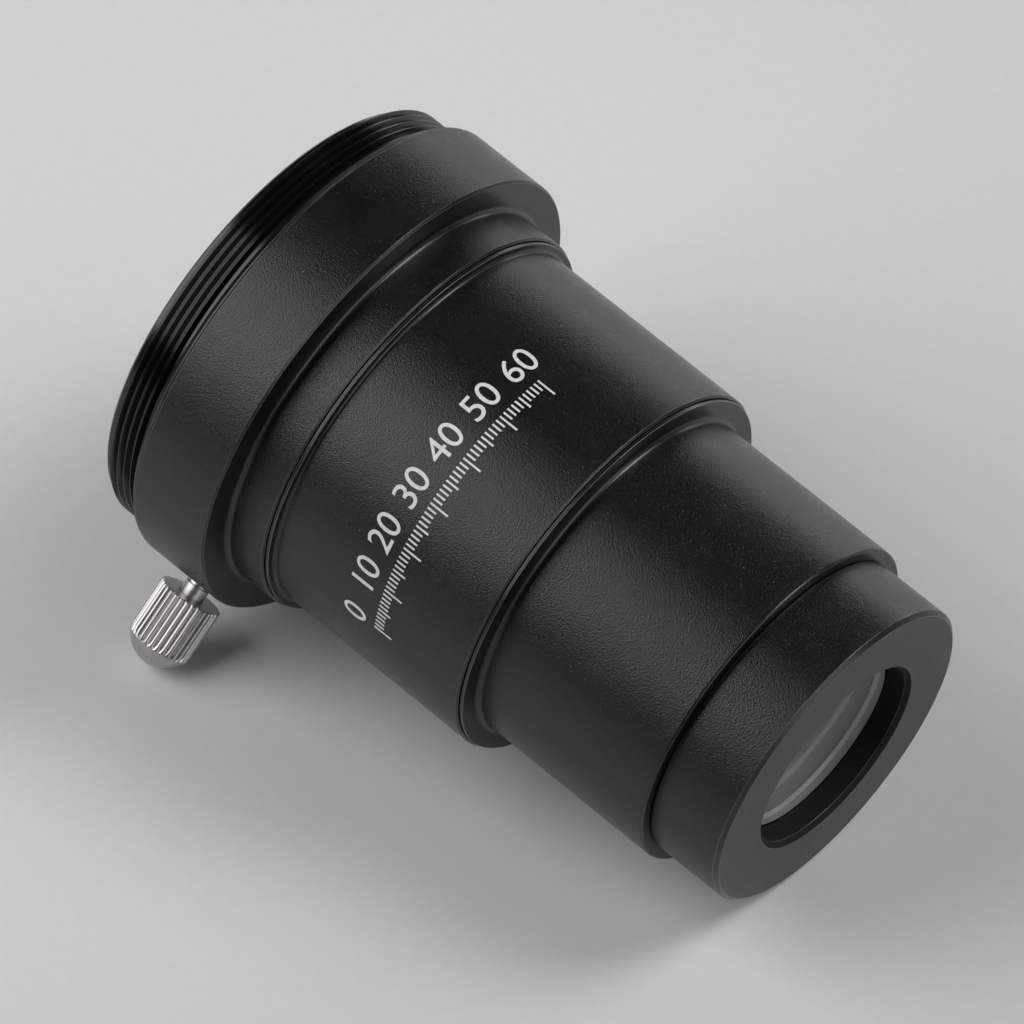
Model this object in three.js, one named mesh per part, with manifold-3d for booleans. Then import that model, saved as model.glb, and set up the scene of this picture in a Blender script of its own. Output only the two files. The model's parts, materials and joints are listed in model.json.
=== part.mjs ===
// Barlow lens for 1.25 inch telescope eyepieces, with a male T2 camera thread round its socket.
// The tubes are turned about one optical axis, which is the Y axis of the group they are built in.
// That group is then laid on the table: it rests on the head's front rim, on the end of the
// nosepiece and on the thumbscrew, with the lens end towards +X.

import * as THREE from 'three';
import * as BufferGeometryUtils from 'three/addons/utils/BufferGeometryUtils.js';
import Module from 'manifold-3d';

const wasm = await Module();
wasm.setup();

// ---- Driving dimensions, millimetres ----

// Lengths along the optical axis, from the thread end to the lens end.
const threadLength = 4.1;
const headLength = 8.5;
const collarLength = 4.4;
const bodyLength = 21.0;
const barrelLength = 18.1;
const cellLength = 7.2;

// The 1.25 inch format and what is built out from it.
const barrelRadius = 15.85;
const socketClearance = 0.1;
const bodyWall = 2.05;
const collarStep = 1.0;
const headStep = 3.0;
const socketLead = 0.4;

// T2 camera thread, M42 x 0.75, male.
const threadRadius = 20.9;
const threadPitch = 0.75;
const threadDepth = 0.46;
const threadLip = 0.25;
const threadLead = 0.2;
const threadFoot = 0.05;
const footStep = 0.02;
const shoulderWidth = 1.1;
const ringFlange = 0.65;
const ringChamfer = 0.5;
const ringSpigotWall = 3.05;

// Screwed joints between the tubes.
const jointWall = 1.35;
const jointLength = 6.0;
const noseJointWall = 1.2;
const noseJointLength = 5.1;
const flangeThickness = 0.3;
const threadClearance = 0.15;
const partingGap = 0.1;
const edgeChamfer = 0.25;
const headChamfer = 0.3;
const neckFillet = 0.5;
const stopLedge = 1.55;
const stopThickness = 1.5;

// Nosepiece barrel.
const barrelWall = 1.95;
const barrelRound = 0.4;
const filterWall = 1.5;
const filterDepth = 3.9;
const baffleSetback = 6.0;
const baffleThickness = 0.8;
const baffleOpening = 9.4;
const baffleEdge = 0.2;

// Lens cell, its cemented doublet and the ring that holds it.
const cellStep = 1.1;
const cellChamfer = 0.4;
const cellSpigotLength = 3.6;
const glassRadius = 9.05;
const glassClearance = 0.15;
const glassLip = 0.2;
const glassDepth = 2.2;
const apertureChamfer = 0.43;
const frontEdgeThickness = 2.5;
const rearEdgeThickness = 5.4;
const outerCurve = 48;
const cementCurve = 26;
const innerCurve = 30;
const cementGap = 0.05;
const seatGap = 0.1;
const hubWall = 1.9;
const keeperThread = 0.5;
const keeperThickness = 1.6;
const keeperOpening = 7.7;
const keeperSlotWidth = 1.4;
const keeperSlotDepth = 0.8;

// Brass compression ring and its groove.
const grooveWidth = 3.7;
const grooveDepth = 1.5;
const clampRingThickness = 0.65;
const clampRingInset = 0.15;
const clampRingSplit = 1.6;

// Thumbscrew, M2.6 x 0.45.
const screwSetback = 4.1;
const screwRadius = 1.3;
const screwHoleClearance = 0.2;
const neckRadius = 1.05;
const screwCrestOut = 0.45;
const screwBackedOut = 1.8;
const screwInWall = 3.6;
const tipChamfer = 0.25;
const knobRadius = 2.9;
const knobFlutes = 30;
const fluteDepth = 0.2;
const knobLength = 5.2;
const knobBaseThickness = 0.4;
const knobBaseInset = 0.15;
const knobShoulder = 0.2;
const domeHeight = 1.8;
const tenonLength = 3.2;
const tenonClearance = 0.1;

// Facets round each turned piece. Multiples of four put a corner on every quarter.
const tubeFacets = 48;
const screwFacets = 16;
const filletSteps = 2;
const curveSteps = 4;

// ---- Stations along the optical axis ----

const headBack = threadLength;
const headFront = headBack + headLength;
const collarFront = headFront + collarLength;
const bodyFront = collarFront + bodyLength;
const barrelEnd = bodyFront + barrelLength;
const noseFront = barrelEnd + cellLength;
const screwStation = headBack + screwSetback;
const grooveStart = screwStation - grooveWidth / 2;
const grooveEnd = screwStation + grooveWidth / 2;

// ---- Radii from the optical axis ----

const socketRadius = barrelRadius + socketClearance;
const bodyRadius = socketRadius + bodyWall;
const collarRadius = bodyRadius + collarStep;
const headRadius = Math.max(collarRadius + headStep, threadRadius + shoulderWidth);
const ringSpigotRadius = socketRadius + ringSpigotWall;
const jointRadius = socketRadius + jointWall;
const grooveRadius = socketRadius + grooveDepth;
const noseJointRadius = bodyRadius - noseJointWall;
const barrelBore = barrelRadius - barrelWall;
const filterRadius = barrelRadius - filterWall;
const cellRadius = barrelRadius - cellStep;
const pocketRadius = glassRadius + glassClearance;
const apertureRadius = glassRadius - glassLip;
const keeperRadius = pocketRadius + keeperThread;
const knobBase = headRadius + screwBackedOut;
const knobTop = knobBase + knobLength;
const domeRim = knobRadius - knobShoulder;
const domeRadius = (domeRim * domeRim + domeHeight * domeHeight) / (2 * domeHeight);

// ---- Finishes ----

function finish(colour, roughness, metalness) {
  return new THREE.MeshStandardMaterial({ color: colour, roughness, metalness });
}

const blackAnodised = () => finish(0x2b2b2d, 0.55, 0.6);
const bluntBlack = () => finish(0x141415, 0.8, 0.3);
const brightNickel = () => finish(0xc9cace, 0.25, 1.0);
const plainBrass = () => finish(0xb08d45, 0.35, 1.0);

function opticalGlass() {
  const glass = finish(0x9fb8ac, 0.05, 0.0);
  glass.transparent = true;
  glass.opacity = 0.5;
  return glass;
}

// ---- Shape helpers ----

// Points on a round, from one angle to another in degrees, as [radius, along] pairs.
function round(centreRadius, centreAlong, size, fromDegrees, toDegrees, steps = filletSteps) {
  const points = [];
  for (let step = 0; step <= steps; step++) {
    const angle = THREE.MathUtils.degToRad(fromDegrees + (toDegrees - fromDegrees) * step / steps);
    points.push([centreRadius + size * Math.cos(angle), centreAlong + size * Math.sin(angle)]);
  }
  return points;
}

// How far a sphere's surface drops from its middle at a given height off the axis.
function sag(curve, height) {
  return curve - Math.sqrt(curve * curve - height * height);
}

function signedArea(points) {
  let area = 0;
  points.forEach(([r, a], index) => {
    const [nextR, nextA] = points[(index + 1) % points.length];
    area += r * nextA - nextR * a;
  });
  return area / 2;
}

// Turns a closed outline of [radius, along] pairs about the Y axis, with its faces outwards.
function turned(outline, facets = tubeFacets) {
  const ordered = signedArea(outline) < 0 ? [...outline].reverse() : outline;
  const onAxis = ordered.some(([r]) => r === 0);
  const loop = onAxis ? fromAxis(ordered) : [...ordered, ordered[0]];
  return bare(new THREE.LatheGeometry(loop.map(([r, a]) => new THREE.Vector2(r, a)), facets));
}

// Starts an outline that meets the axis at its first point on the axis and ends it at its last.
function fromAxis(outline) {
  const count = outline.length;
  const start = outline.findIndex(([r], index) => r === 0 && outline[(index + 1) % count][0] > 0);
  return outline.map((_, index) => outline[(start + index) % count]);
}

function bare(geometry) {
  geometry.deleteAttribute('uv');
  geometry.deleteAttribute('normal');
  return BufferGeometryUtils.mergeVertices(geometry, 1e-4);
}

function toSolid(geometry) {
  const vertProperties = new Float32Array(geometry.attributes.position.array);
  const triVerts = new Uint32Array(geometry.index.array);
  return new wasm.Manifold(new wasm.Mesh({ numProp: 3, vertProperties, triVerts }));
}

function toGeometry(solid) {
  const mesh = solid.getMesh();
  const geometry = new THREE.BufferGeometry();
  geometry.setAttribute('position', new THREE.BufferAttribute(mesh.vertProperties, 3));
  geometry.setIndex(new THREE.BufferAttribute(mesh.triVerts, 1));
  return geometry;
}

function piece(name, geometry, material) {
  geometry.computeVertexNormals();
  const mesh = new THREE.Mesh(geometry, material);
  mesh.name = name;
  return mesh;
}

// ---- Head ----

// Ring with the T2 thread: its flange seats on the holder's back and its bore is the eyepiece's way in.
// A low foot, just wider than the thread, leaves the shoulder's face clear of the crests.
function tThreadRing() {
  const rootRadius = threadRadius - threadDepth;
  const threadEnd = headBack - threadFoot;
  const crests = Math.floor((threadEnd - threadLip) / threadPitch);
  const thread = [];
  for (let crest = 0; crest < crests; crest++) {
    const start = threadEnd - (crests - crest) * threadPitch;
    thread.push([rootRadius, start]);
    thread.push([threadRadius, start + threadPitch / 2]);
  }
  const flangeFront = headBack + ringFlange;
  const spigotEnd = grooveStart - partingGap;
  return piece('t_thread_ring', turned([
    [socketRadius, socketLead],
    [socketRadius + socketLead, 0],
    [rootRadius - threadLead, 0],
    [rootRadius, threadLead],
    ...thread,
    [rootRadius, threadEnd],
    [threadRadius + footStep, threadEnd],
    [threadRadius + footStep, headBack],
    [headRadius - edgeChamfer / 2 - ringChamfer, headBack],
    [headRadius - edgeChamfer / 2, headBack + ringChamfer],
    [headRadius - edgeChamfer / 2, flangeFront],
    [ringSpigotRadius, flangeFront],
    [ringSpigotRadius, spigotEnd],
    [socketRadius, spigotEnd],
  ]), blackAnodised());
}

// The holder's radial hole for the thumbscrew, as a solid to cut away.
function screwHole() {
  const bore = new THREE.CylinderGeometry(
    screwRadius + screwHoleClearance, screwRadius + screwHoleClearance, headRadius, screwFacets);
  bore.translate(0, headRadius, 0);
  bore.applyMatrix4(screwPlacement());
  return toSolid(bare(bore));
}

function eyepieceHolder() {
  const backFace = headBack + ringFlange + partingGap;
  const frontFace = collarFront - flangeThickness - partingGap;
  const recessRadius = ringSpigotRadius + threadClearance;
  const boreRadius = jointRadius + threadClearance;
  const boreStart = frontFace - jointLength;
  const shell = toSolid(turned([
    [recessRadius, backFace],
    [headRadius, backFace],
    [headRadius, headFront - headChamfer],
    [headRadius - headChamfer, headFront],
    ...round(collarRadius + neckFillet, headFront + neckFillet, neckFillet, 270, 180),
    [collarRadius, frontFace - edgeChamfer],
    [collarRadius - edgeChamfer, frontFace],
    [boreRadius, frontFace],
    [boreRadius, boreStart],
    [socketRadius, boreStart],
    [socketRadius, grooveEnd],
    [grooveRadius, grooveEnd],
    [grooveRadius, grooveStart],
    [recessRadius, grooveStart],
  ]));
  return piece('eyepiece_holder', toGeometry(shell.subtract(screwHole())), blackAnodised());
}

// Split brass ring that the thumbscrew closes on the eyepiece, with its gap opposite the screw.
function compressionRing() {
  const inside = socketRadius + clampRingInset;
  const outside = inside + clampRingThickness;
  const from = grooveStart + partingGap;
  const to = grooveEnd - partingGap;
  const ring = toSolid(turned([[inside, from], [outside, from], [outside, to], [inside, to]]));
  const gap = new THREE.BoxGeometry(clampRingSplit, outside, grooveWidth);
  gap.translate(0, -outside, 0);
  gap.applyMatrix4(screwPlacement());
  return piece('compression_ring', toGeometry(ring.subtract(toSolid(bare(gap)))), plainBrass());
}

// ---- Tubes ----

// Main tube: screws into the holder, takes the eyepiece's barrel down to a ledge, and holds the nosepiece.
function mainTube() {
  const flangeBack = collarFront - flangeThickness;
  const frontFace = bodyFront - flangeThickness - partingGap;
  const recessRadius = noseJointRadius + threadClearance;
  const ledgeFront = frontFace - noseJointLength;
  const ledgeBack = ledgeFront - stopThickness;
  return piece('main_tube', turned([
    [socketRadius, flangeBack - jointLength],
    [jointRadius, flangeBack - jointLength],
    [jointRadius, flangeBack],
    [collarRadius - edgeChamfer, flangeBack],
    [collarRadius - edgeChamfer, collarFront],
    ...round(bodyRadius + neckFillet, collarFront + neckFillet, neckFillet, 270, 180),
    [bodyRadius, frontFace - edgeChamfer],
    [bodyRadius - edgeChamfer, frontFace],
    [recessRadius, frontFace],
    [recessRadius, ledgeFront],
    [socketRadius - stopLedge, ledgeFront],
    [socketRadius - stopLedge, ledgeBack],
    [socketRadius, ledgeBack],
  ]), blackAnodised());
}

// Nosepiece: the 1.25 inch barrel that goes into the telescope, with a filter thread in its end.
function nosepiece() {
  const flangeBack = bodyFront - flangeThickness;
  const back = flangeBack - noseJointLength;
  return piece('nosepiece', turned([
    [barrelBore, back],
    [noseJointRadius, back],
    [noseJointRadius, flangeBack],
    [bodyRadius - edgeChamfer, flangeBack],
    [bodyRadius - edgeChamfer, bodyFront],
    ...round(barrelRadius + neckFillet, bodyFront + neckFillet, neckFillet, 270, 180),
    ...round(barrelRadius - barrelRound, barrelEnd - barrelRound, barrelRound, 0, 90),
    [filterRadius, barrelEnd],
    [filterRadius, barrelEnd - filterDepth],
    [barrelBore, barrelEnd - filterDepth],
  ]), blackAnodised());
}

// Blackened ring in the barrel that stops stray light, thinned to an edge round its opening.
function baffleRing() {
  const back = bodyFront + baffleSetback;
  const outside = barrelBore - partingGap;
  return piece('baffle_ring', turned([
    [outside, back],
    [outside, back + baffleThickness],
    [baffleOpening + baffleThickness, back + baffleThickness],
    [baffleOpening, back + baffleEdge],
    [baffleOpening, back],
  ]), bluntBlack());
}

// ---- Lens cell ----

const glassFront = noseFront - glassDepth - seatGap;
const cementRim = glassFront - frontEdgeThickness;
const glassBack = cementRim - rearEdgeThickness;
const keeperFront = glassBack - seatGap;
const cellBack = keeperFront - keeperThickness - partingGap;

function lensCell() {
  const spigotRadius = filterRadius - threadClearance;
  const shoulder = barrelEnd + partingGap;
  const spigotBack = shoulder - cellSpigotLength;
  const hubRadius = keeperRadius + threadClearance + hubWall;
  return piece('lens_cell', turned([
    [keeperRadius + threadClearance, cellBack],
    [hubRadius, cellBack],
    [hubRadius, spigotBack],
    [spigotRadius, spigotBack],
    [spigotRadius, shoulder],
    [cellRadius, shoulder],
    [cellRadius, noseFront - cellChamfer],
    [cellRadius - cellChamfer, noseFront],
    [apertureRadius + apertureChamfer, noseFront],
    [apertureRadius, noseFront - apertureChamfer],
    [apertureRadius, noseFront - glassDepth],
    [pocketRadius, noseFront - glassDepth],
    [pocketRadius, glassBack],
    [keeperRadius + threadClearance, glassBack],
  ]), blackAnodised());
}

// Points across a spherical face from the rim to the axis. Its middle stands out towards the lens
// end for a bulge of 1, and towards the thread end for -1.
function face(curve, rimAlong, bulge) {
  const points = [];
  for (let step = curveSteps; step >= 0; step--) {
    const height = glassRadius * step / curveSteps;
    points.push([height, rimAlong + bulge * (sag(curve, glassRadius) - sag(curve, height))]);
  }
  return points;
}

// Front element: a thin-edged meniscus, hollow in front and full on its cemented back.
function frontElement() {
  return piece('front_lens_element', turned([
    ...face(outerCurve, glassFront, -1),
    ...face(cementCurve, cementRim, -1).reverse(),
  ]), opticalGlass());
}

// Rear element: hollow on both sides, with a thick edge.
function rearElement() {
  return piece('rear_lens_element', turned([
    ...face(cementCurve, cementRim - cementGap, -1),
    ...face(innerCurve, glassBack, 1).reverse(),
  ]), opticalGlass());
}

// Threaded ring behind the glass, with two slots for a spanner.
function lensKeeper() {
  const back = keeperFront - keeperThickness;
  const ring = toSolid(turned([
    [keeperOpening, back],
    [keeperRadius, back],
    [keeperRadius, keeperFront],
    [keeperOpening, keeperFront],
  ]));
  const slot = new THREE.BoxGeometry(keeperSlotWidth, 2 * keeperSlotDepth, 4 * keeperRadius);
  slot.translate(0, back, 0);
  return piece('lens_retaining_ring', toGeometry(ring.subtract(toSolid(bare(slot)))), bluntBlack());
}

// ---- Thumbscrew ----

// Both pieces are turned about Y with the optical axis at zero, then pointed outwards from it.
function screwPlacement() {
  const pointed = new THREE.Matrix4().makeRotationZ(-Math.PI / 2);
  const rolled = new THREE.Matrix4().makeRotationY(-screwRoll);
  const moved = new THREE.Matrix4().makeTranslation(0, screwStation, 0);
  return moved.multiply(rolled).multiply(pointed);
}

function thumbscrewStud() {
  const tip = headRadius - screwInWall;
  const crestEnd = headRadius + screwCrestOut;
  const top = knobBase + tenonLength;
  return piece('thumbscrew_stud', turned([
    [0, tip],
    [screwRadius - tipChamfer, tip],
    [screwRadius, tip + tipChamfer],
    [screwRadius, crestEnd],
    [neckRadius, crestEnd + screwRadius - neckRadius],
    [neckRadius, top],
    [0, top],
  ], screwFacets), brightNickel());
}

// Straight knurl: a ring of flutes on an extruded outline.
function knurl(from, to) {
  const outline = new THREE.Shape();
  for (let flute = 0; flute < knobFlutes; flute++) {
    const crest = 2 * Math.PI * flute / knobFlutes;
    const root = crest + Math.PI / knobFlutes;
    const rootRadius = knobRadius - fluteDepth;
    const crestPoint = [knobRadius * Math.cos(crest), knobRadius * Math.sin(crest)];
    if (flute === 0) outline.moveTo(...crestPoint);
    else outline.lineTo(...crestPoint);
    outline.lineTo(rootRadius * Math.cos(root), rootRadius * Math.sin(root));
  }
  const block = new THREE.ExtrudeGeometry(outline, { depth: to - from, bevelEnabled: false });
  block.rotateX(-Math.PI / 2);
  block.translate(0, from, 0);
  return toSolid(bare(block));
}

function thumbscrewKnob() {
  const domeCentre = knobTop + domeHeight - domeRadius;
  const rimAngle = THREE.MathUtils.radToDeg(Math.asin((knobTop - domeCentre) / domeRadius));
  const baseRadius = knobRadius - fluteDepth - knobBaseInset;
  const core = toSolid(turned([
    [0, knobBase],
    [baseRadius, knobBase],
    [baseRadius, knobTop - knobShoulder],
    ...round(0, domeCentre, domeRadius, rimAngle, 90, curveSteps).slice(0, -1),
    [0, knobTop + domeHeight],
  ], knobFlutes));
  const bore = new THREE.CylinderGeometry(
    neckRadius + tenonClearance, neckRadius + tenonClearance, 2 * (tenonLength + tenonClearance), screwFacets);
  bore.translate(0, knobBase, 0);
  const gripped = core.add(knurl(knobBase + knobBaseThickness, knobTop));
  const geometry = toGeometry(gripped.subtract(toSolid(bare(bore))));
  return piece('thumbscrew_knob', geometry, brightNickel());
}

// ---- How it lies on the table ----

// The tubes touch the table at the head's front rim and at the nosepiece's or the cell's end rim.
const headContact = headFront - headChamfer;
const barrelContact = barrelEnd - barrelRound;
const cellContact = noseFront - cellChamfer;
const dip = Math.atan(Math.min(
  (headRadius - barrelRadius) / (barrelContact - headContact),
  (headRadius - cellRadius) / (cellContact - headContact),
));

// The tube rolls until the thumbscrew's dome meets the table too.
const tableDepth = headRadius * Math.cos(dip) + (headContact - screwStation) * Math.sin(dip);
const domeAlongScrew = knobTop + domeHeight - domeRadius;
const screwFromDown = Math.acos(Math.min(1, (tableDepth - domeRadius) / domeAlongScrew));
const screwRoll = Math.acos(Math.min(1, Math.cos(screwFromDown) / Math.cos(dip)));

const barlow = new THREE.Group();
barlow.add(tThreadRing());
barlow.add(eyepieceHolder());
barlow.add(compressionRing());
barlow.add(mainTube());
barlow.add(nosepiece());
barlow.add(baffleRing());
barlow.add(lensCell());
barlow.add(frontElement());
barlow.add(rearElement());
barlow.add(lensKeeper());

const thumbscrew = new THREE.Group();
thumbscrew.applyMatrix4(screwPlacement());
thumbscrew.add(thumbscrewStud());
thumbscrew.add(thumbscrewKnob());
barlow.add(thumbscrew);

// Local Y is the optical axis, dipping towards +X. Local X points down and local Z to the side, -Y.
const opticalAxis = new THREE.Vector3(Math.cos(dip), 0, -Math.sin(dip));
const downwards = new THREE.Vector3(-Math.sin(dip), 0, -Math.cos(dip));
const sideways = new THREE.Vector3(0, -1, 0);
barlow.quaternion.setFromRotationMatrix(new THREE.Matrix4().makeBasis(downwards, opticalAxis, sideways));

// The origin is on the table, under the middle of the whole object.
const group = new THREE.Group();
group.add(barlow);
group.updateMatrixWorld(true);
const extent = new THREE.Box3().setFromObject(group, true);
const middle = extent.getCenter(new THREE.Vector3());
barlow.position.set(-middle.x, -middle.y, -extent.min.z);

export default group;
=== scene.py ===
import json
import math

import bmesh
import bpy
from mathutils import Matrix, Vector


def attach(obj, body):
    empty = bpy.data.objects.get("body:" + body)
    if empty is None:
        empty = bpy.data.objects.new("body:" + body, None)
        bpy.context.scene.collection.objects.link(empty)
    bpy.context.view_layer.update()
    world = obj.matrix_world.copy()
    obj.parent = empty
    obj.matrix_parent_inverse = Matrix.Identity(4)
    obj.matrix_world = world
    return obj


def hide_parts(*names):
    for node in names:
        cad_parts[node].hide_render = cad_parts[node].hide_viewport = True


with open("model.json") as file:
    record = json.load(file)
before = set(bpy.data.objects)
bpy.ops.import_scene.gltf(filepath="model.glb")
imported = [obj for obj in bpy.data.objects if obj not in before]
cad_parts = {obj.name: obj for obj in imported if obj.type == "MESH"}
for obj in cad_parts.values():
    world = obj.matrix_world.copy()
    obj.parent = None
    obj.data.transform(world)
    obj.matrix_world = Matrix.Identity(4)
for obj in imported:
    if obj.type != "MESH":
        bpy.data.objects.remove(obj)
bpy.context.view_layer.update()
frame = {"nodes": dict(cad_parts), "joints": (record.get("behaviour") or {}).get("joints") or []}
print("frame loaded:", len(frame["nodes"]), "nodes")

# Every turned piece is drawn in millimetres about its own axis, then laid where its joint says.
mm = 0.001
tubeLength = 63.3      # thread end to lens end
screwReach = 30.8      # optical axis to the tip of the thumbscrew
screwAngle = -math.radians(45.24)   # the screw's direction round the tube, from local X
sharpAngle = math.radians(32)       # steeper edges than this are drawn crisp
weldGap = 1e-5                      # points closer than this become one
joints = {joint["name"]: joint for joint in frame["joints"]}


def axisPlace(joint, reach, across):
    # local Z runs along the joint's axis, with zero at reach mm behind the joint's own point
    along = Vector(joint["axis"]).normalized()
    sideways = Vector(across).cross(along).normalized()
    upright = along.cross(sideways)
    start = Vector(joint["pos_m"]) - along * reach * mm
    turn = Matrix((sideways, upright, along)).transposed().to_4x4()
    return Matrix.Translation(start) @ turn @ Matrix.Scale(mm, 4)


tubePlace = axisPlace(joints["cell_turn"], tubeLength, (0, 1, 0))        # local X points down
screwPlace = axisPlace(joints["thumbscrew_turn"], screwReach, joints["cell_turn"]["axis"])


def linear(code):
    # sRGB hex to linear colour
    parts = [int(code[i:i + 2], 16) / 255 for i in (1, 3, 5)]
    return [c / 12.92 if c <= 0.04045 else ((c + 0.055) / 1.055) ** 2.4 for c in parts] + [1]


def connect(tree, node, inputs):
    # an input takes a value, a socket, or another node's first live output
    for socket, value in inputs.items():
        if isinstance(value, bpy.types.Node):
            value = next(output for output in value.outputs if output.enabled)
        if isinstance(value, bpy.types.NodeSocket):
            tree.links.new(value, node.inputs[socket])
        else:
            node.inputs[socket].default_value = value


def addNode(tree, kind, inputs=None, **settings):
    node = tree.nodes.new(kind)
    for name, value in settings.items():
        setattr(node, name, value)
    connect(tree, node, inputs or {})
    return node


def startMaterial(name, sockets):
    material = bpy.data.materials.new(name)
    material.use_nodes = True
    tree = material.node_tree
    shader = tree.nodes["Principled BSDF"]
    connect(tree, shader, sockets)
    return material, tree, shader


def localMm(tree, place):
    # object coordinates turned into millimetres about a piece's own axis
    spot, turn, size = place.decompose()
    coordinates = addNode(tree, "ShaderNodeTexCoord")
    return addNode(tree, "ShaderNodeMapping", {
        "Vector": coordinates.outputs["Object"], "Location": spot,
        "Rotation": turn.to_euler(), "Scale": size}, vector_type="TEXTURE")


def turningMarks(tree, local, spacing):
    # rings left by the lathe tool: noise that reads only radius and length
    flat = addNode(tree, "ShaderNodeVectorMath", {0: local, 1: (1, 1, 0)}, operation="MULTIPLY")
    radius = addNode(tree, "ShaderNodeVectorMath", {0: flat}, operation="LENGTH")
    along = addNode(tree, "ShaderNodeSeparateXYZ", {0: local})
    ring = addNode(tree, "ShaderNodeCombineXYZ", {0: radius.outputs["Value"], 1: along.outputs[2]})
    return addNode(tree, "ShaderNodeTexNoise", {
        "Vector": ring, "Scale": 1 / spacing, "Detail": 2.0, "Roughness": 0.6},
        noise_dimensions="2D")


# Anodised aluminium: a black dyed oxide, so it shines like a dielectric and not like a metal.
# Sizes and heights are in millimetres; dust is the share of places that hold a speck.
anodisedLooks = {
    # blasted before anodising: a soft sheen broken up by fine pebbled grain
    "beadBlastedBlackAnodising": {
        "colour": "#09090a", "mottle": "#0e0e10", "roughness": 0.29, "ior": 1.50,
        "grainSize": 0.125, "grainHeight": 0.043, "marksSpacing": 0.0, "dust": 0.55},
    # left as turned: smoother and glossier, with faint rings
    "turnedBlackAnodising": {
        "colour": "#070708", "mottle": "#0c0c0d", "roughness": 0.30, "ior": 1.52,
        "grainSize": 0.30, "grainHeight": 0.002, "marksSpacing": 0.10, "dust": 0.35},
    # threads and bores: dark and smooth, where little light gets in
    "threadCutBlackAnodising": {
        "colour": "#080809", "mottle": "#0c0c0d", "roughness": 0.20, "ior": 1.52,
        "grainSize": 0.20, "grainHeight": 0.002, "marksSpacing": 0.06, "dust": 0.0},
    # broken edges: paler where the dye is thin, and lifted further to paint the bright highlight
    # lines along them
    "paleEdgeAndPaintedHighlight": {
        "colour": "#28282b", "mottle": "#6c6c70", "roughness": 0.24, "ior": 1.60,
        "grainSize": 0.22, "grainHeight": 0.003, "marksSpacing": 0.08, "dust": 0.0},
}
dustSpecks = {"spacing": 1.6, "reach": 0.036, "colour": "#6f6f70"}   # reach is a share of spacing
dyePatches = {"scale": 0.35, "sheenChange": 0.03}      # cloudy patches about 3 mm across
blackMarksHeight = 0.0022


def anodised(name):
    look = anodisedLooks[name]
    material, tree, shader = startMaterial(name, {"IOR": look["ior"]})
    local = localMm(tree, tubePlace)
    cloud = addNode(tree, "ShaderNodeTexNoise", {
        "Vector": local, "Scale": dyePatches["scale"], "Detail": 3.0})
    colour = addNode(tree, "ShaderNodeMix", {
        0: cloud, 6: linear(look["colour"]), 7: linear(look["mottle"])}, data_type="RGBA")
    if look["dust"]:
        # a few specks of dust, about 0.1 mm across, one in some of the cells
        speck = addNode(tree, "ShaderNodeTexVoronoi", {
            "Vector": local, "Scale": 1 / dustSpecks["spacing"]})
        near = addNode(tree, "ShaderNodeMath", {
            0: speck, 1: dustSpecks["reach"]}, operation="LESS_THAN")
        pick = addNode(tree, "ShaderNodeSeparateColor", {0: speck.outputs["Color"]})
        chosen = addNode(tree, "ShaderNodeMath", {0: pick, 1: look["dust"]}, operation="LESS_THAN")
        both = addNode(tree, "ShaderNodeMath", {0: near, 1: chosen}, operation="MULTIPLY")
        colour = addNode(tree, "ShaderNodeMix", {
            0: both, 6: colour, 7: linear(dustSpecks["colour"])}, data_type="RGBA")
    sheen = addNode(tree, "ShaderNodeMapRange", {
        0: cloud, 1: 0.3, 2: 0.7, 3: look["roughness"] - dyePatches["sheenChange"],
        4: look["roughness"] + dyePatches["sheenChange"]})
    grain = addNode(tree, "ShaderNodeTexNoise", {
        "Vector": local, "Scale": 1 / look["grainSize"], "Detail": 1.5, "Roughness": 0.5})
    bump = addNode(tree, "ShaderNodeBump", {
        "Height": grain, "Strength": 1.0, "Distance": look["grainHeight"] * mm})
    if look["marksSpacing"]:
        marks = turningMarks(tree, local, look["marksSpacing"])
        bump = addNode(tree, "ShaderNodeBump", {
            "Height": marks, "Strength": 1.0, "Distance": blackMarksHeight * mm, "Normal": bump})
    connect(tree, shader, {"Base Color": colour, "Roughness": sheen, "Normal": bump})
    return material


# Turned metals: colour, roughness, and how wide and deep the tool marks are in millimetres.
metalLooks = {
    # electroplated: bright and nearly mirror-like between the tool marks
    "brightNickelPlate": {
        "place": screwPlace, "colour": "#cccac8", "low": "#b2b0ae", "roughness": 0.32,
        "marksSpacing": 0.12, "marksHeight": 0.0012},
    # tumbled before plating: satin grey
    "satinNickelPlate": {
        "place": screwPlace, "colour": "#d0cecb", "low": "#aeaca9", "roughness": 0.38,
        "marksSpacing": 0.16, "marksHeight": 0.0025},
    # plain turned brass, a little dull
    "turnedBrass": {
        "place": tubePlace, "colour": "#c9a655", "low": "#a98538", "roughness": 0.32,
        "marksSpacing": 0.14, "marksHeight": 0.003},
}


def turnedMetal(name):
    look = metalLooks[name]
    material, tree, shader = startMaterial(name, {"Metallic": 1.0})
    local = localMm(tree, look["place"])
    stain = addNode(tree, "ShaderNodeTexNoise", {"Vector": local, "Scale": 0.9, "Detail": 4.0})
    colour = addNode(tree, "ShaderNodeMix", {
        0: stain, 6: linear(look["low"]), 7: linear(look["colour"])}, data_type="RGBA")
    rough = addNode(tree, "ShaderNodeMapRange", {
        0: stain, 1: 0.3, 2: 0.7, 3: look["roughness"] - 0.05, 4: look["roughness"] + 0.06})
    marks = turningMarks(tree, local, look["marksSpacing"])
    bump = addNode(tree, "ShaderNodeBump", {
        "Height": marks, "Strength": 1.0, "Distance": look["marksHeight"] * mm})
    connect(tree, shader, {"Base Color": colour, "Roughness": rough, "Normal": bump})
    return material


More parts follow.
